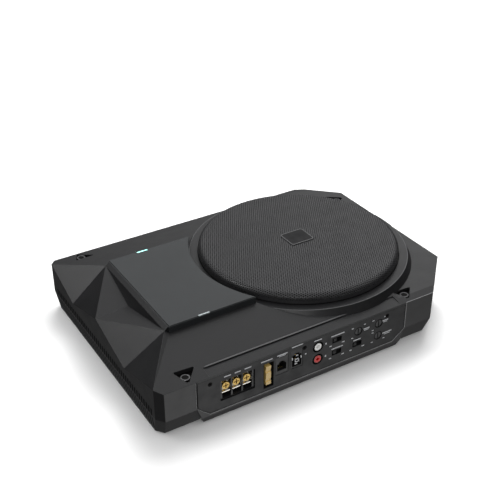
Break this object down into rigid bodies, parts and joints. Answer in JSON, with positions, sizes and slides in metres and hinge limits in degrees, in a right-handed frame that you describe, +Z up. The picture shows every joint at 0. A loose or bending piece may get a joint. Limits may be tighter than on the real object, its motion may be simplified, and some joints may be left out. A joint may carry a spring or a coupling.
{
  "type": "powered car subwoofer, under-seat",
  "caption": "Low-profile powered car subwoofer: faceted black enclosure with amplifier cover, round perforated grille, side connector panel, sliding switches, dials and cooling fins.",
  "frame": {"origin": "centre of the bounding box's bottom face, on the floor under the rubber feet", "axes": "+X along the long side from the faceted amplifier end to the woofer end, -Y out of the connector panel, +Z up"},
  "size_m": [0.345, 0.25, 0.0711],
  "materials": {
    "shell_plastic": "fine textured",
    "cover_paint": "satin",
    "base_steel": "black powder coat",
    "foot_rubber": "matt",
    "screw_steel": "turned",
    "black_screws": "black zinc",
    "light_plain": "frosted",
    "light_lit": "frosted, lit",
    "grille_paint": "satin, perforated",
    "grille_ring": "matt",
    "badge": "polished, blank",
    "basket_steel": "black",
    "cone_paper": "matt black",
    "former": "matt",
    "copper": "lacquered copper wire",
    "spider_cloth": "resin-soaked cloth",
    "magnet_steel": "zinc plated",
    "ferrite": "matt",
    "brass": "bright",
    "nickel": "nickel plated",
    "panel_paint": "satin",
    "black_plastic": "satin",
    "fuse_tan": "translucent",
    "insert_white": "smooth",
    "insert_red": "smooth",
    "control_plastic": "satin",
    "board": "solder mask",
    "capacitor_sleeve": "shrink sleeve",
    "transistor_case": "moulded",
    "heat_spreader": "milled"
  },
  "bodies": {
    "chassis": {"top_housing": "shell_plastic", "lower_frame": "shell_plastic", "driver_ring": "shell_plastic", "amp_cover": "cover_paint", "base_plate": "base_steel", "rubber_feet": "foot_rubber", "woofer_gasket": "foot_rubber", "surround": "foot_rubber", "corner_screws": "screw_steel", "base_screws": "black_screws", "woofer_screws": "black_screws", "panel_screws": "black_screws", "light_bar_front": "light_plain", "light_bar_rear": "light_lit", "grille_mesh": "grille_paint", "grille_frame": "grille_ring", "grille_badge": "badge", "woofer_basket": "basket_steel", "toroid_coil": "copper", "spider": "spider_cloth", "magnet_top_plate": "magnet_steel", "magnet_yoke": "magnet_steel", "fuse_clips": "magnet_steel", "magnet_ring": "ferrite", "woofer_terminal": "brass", "terminal_bus_bars": "brass", "socket_contacts": "brass", "rca_barrels": "nickel", "connector_panel": "panel_paint", "terminal_block": "black_plastic", "fuse_holder": "black_plastic", "remote_jack": "black_plastic", "speaker_socket": "black_plastic", "rca_housing": "black_plastic", "switch_bodies": "black_plastic", "pot_bodies": "black_plastic", "rca_insert_white": "insert_white", "rca_insert_red": "insert_red", "circuit_boards": "board", "capacitors": "capacitor_sleeve", "transistors": "transistor_case", "heat_spreader": "heat_spreader"},
    "cone_assembly": {"cone": "cone_paper", "dust_cap": "cone_paper", "coil_former": "former", "voice_coil": "copper"},
    "fuse": {"fuse_body": "fuse_tan", "fuse_blades": "nickel"},
    "clamp_1": {"clamp_plate_1": "nickel"},
    "clamp_2": {"clamp_plate_2": "nickel"},
    "clamp_3": {"clamp_plate_3": "nickel"},
    "screw_1": {"terminal_screw_1": "nickel"},
    "screw_2": {"terminal_screw_2": "nickel"},
    "screw_3": {"terminal_screw_3": "nickel"},
    "switch_upper": {"slider_upper": "control_plastic"},
    "switch_lower": {"slider_lower": "control_plastic"},
    "switch_right": {"slider_right": "control_plastic"},
    "dial_upper": {"knob_upper": "control_plastic"},
    "dial_right": {"knob_right": "control_plastic"},
    "dial_lower": {"knob_lower": "control_plastic"}
  },
  "joints": [
    {"name": "cone_travel", "type": "slide", "parent": "chassis", "child": "cone_assembly", "axis": [0, 0, 1], "range_m": [-0.0045, 0.0045], "stiffness_N_per_m": 3000},
    {"name": "fuse_pull", "type": "slide", "parent": "chassis", "child": "fuse", "axis": [0, -1, 0], "range_m": [0, 0.012]},
    {"name": "clamp_1_lift", "type": "slide", "parent": "chassis", "child": "clamp_1", "axis": [0, -1, 0], "range_m": [0, 0.002]},
    {"name": "screw_1_turn", "type": "hinge", "parent": "clamp_1", "child": "screw_1", "pos_m": [-0.1052, -0.1234, 0.0323], "axis": [0, -1, 0], "range_deg": [0, 1029]},
    {"name": "clamp_2_lift", "type": "slide", "parent": "chassis", "child": "clamp_2", "axis": [0, -1, 0], "range_m": [0, 0.002]},
    {"name": "screw_2_turn", "type": "hinge", "parent": "clamp_2", "child": "screw_2", "pos_m": [-0.0945, -0.1234, 0.0323], "axis": [0, -1, 0], "range_deg": [0, 1029]},
    {"name": "clamp_3_lift", "type": "slide", "parent": "chassis", "child": "clamp_3", "axis": [0, -1, 0], "range_m": [0, 0.002]},
    {"name": "screw_3_turn", "type": "hinge", "parent": "clamp_3", "child": "screw_3", "pos_m": [-0.0838, -0.1234, 0.0323], "axis": [0, -1, 0], "range_deg": [0, 1029]},
    {"name": "switch_upper_slide", "type": "slide", "parent": "chassis", "child": "switch_upper", "axis": [1, 0, 0], "range_m": [0, 0.004]},
    {"name": "switch_lower_slide", "type": "slide", "parent": "chassis", "child": "switch_lower", "axis": [1, 0, 0], "range_m": [0, 0.004]},
    {"name": "switch_right_slide", "type": "slide", "parent": "chassis", "child": "switch_right", "axis": [1, 0, 0], "range_m": [0, 0.004]},
    {"name": "dial_upper_turn", "type": "hinge", "parent": "chassis", "child": "dial_upper", "pos_m": [0.0372, -0.125, 0.0378], "axis": [0, -1, 0], "range_deg": [-140, 140]},
    {"name": "dial_right_turn", "type": "hinge", "parent": "chassis", "child": "dial_right", "pos_m": [0.0613, -0.125, 0.0378], "axis": [0, -1, 0], "range_deg": [-140, 140]},
    {"name": "dial_lower_turn", "type": "hinge", "parent": "chassis", "child": "dial_lower", "pos_m": [0.0613, -0.125, 0.0238], "axis": [0, -1, 0], "range_deg": [-140, 140]}
  ],
  "couplings": [
    {"joint": "screw_1_turn", "follows": "clamp_1_lift", "rad_per_m": 8976},
    {"joint": "screw_2_turn", "follows": "clamp_2_lift", "rad_per_m": 8976},
    {"joint": "screw_3_turn", "follows": "clamp_3_lift", "rad_per_m": 8976}
  ]
}
